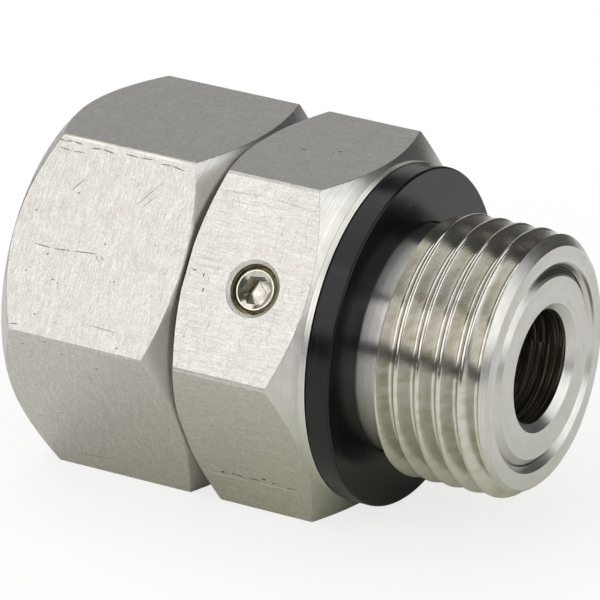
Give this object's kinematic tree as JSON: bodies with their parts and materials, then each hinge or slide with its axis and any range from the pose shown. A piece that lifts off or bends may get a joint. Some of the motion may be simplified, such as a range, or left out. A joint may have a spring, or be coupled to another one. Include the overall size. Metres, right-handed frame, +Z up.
{
  "type": "swivel joint",
  "caption": "In-line hydraulic swivel: a hexagon with a female port turns on balls in a second hexagon with a threaded male stud and a black port seal.",
  "frame": {"origin": "on the swivel axis, in the plane of the stud's sealing shoulder, which is also a point on the axis of the flow bore", "axes": "+X along the swivel axis towards the male stud, +Z up, square to the upper flats, which are level at rest"},
  "size_m": [0.0398, 0.0312, 0.027],
  "materials": {
    "stainless_housing": "satin, milled and turned stainless steel",
    "stainless_spindle": "satin, milled and turned stainless steel",
    "stainless_screw": "turned stainless steel, slightly stained",
    "ball_steel": "polished hardened steel",
    "port_seal_rubber": "smooth black nitrile rubber",
    "o_ring_rubber": "oiled black nitrile rubber",
    "ptfe": "plain white fluoropolymer"
  },
  "bodies": {
    "housing_body": {"housing": "stainless_housing", "ball_plug": "stainless_screw", "port_seal": "port_seal_rubber"},
    "spindle_body": {"spindle": "stainless_spindle", "seal_o_ring": "o_ring_rubber", "backup_ring_rear": "ptfe", "backup_ring_front": "ptfe", "dust_o_ring": "o_ring_rubber"},
    "ball_set": {"ball_01": "ball_steel", "ball_02": "ball_steel", "ball_03": "ball_steel", "ball_04": "ball_steel", "ball_05": "ball_steel", "ball_06": "ball_steel", "ball_07": "ball_steel", "ball_08": "ball_steel", "ball_09": "ball_steel", "ball_10": "ball_steel", "ball_11": "ball_steel", "ball_12": "ball_steel", "ball_13": "ball_steel", "ball_14": "ball_steel", "ball_15": "ball_steel"}
  },
  "joints": [
    {"name": "swivel_spin", "type": "hinge", "parent": "housing_body", "child": "spindle_body", "pos_m": [0, 0, 0], "axis": [1, 0, 0], "continuous": true},
    {"name": "ball_orbit", "type": "hinge", "parent": "housing_body", "child": "ball_set", "pos_m": [0, 0, 0], "axis": [1, 0, 0], "continuous": true}
  ],
  "couplings": [
    {"joint": "ball_orbit", "follows": "swivel_spin", "ratio": 0.4022}
  ]
}
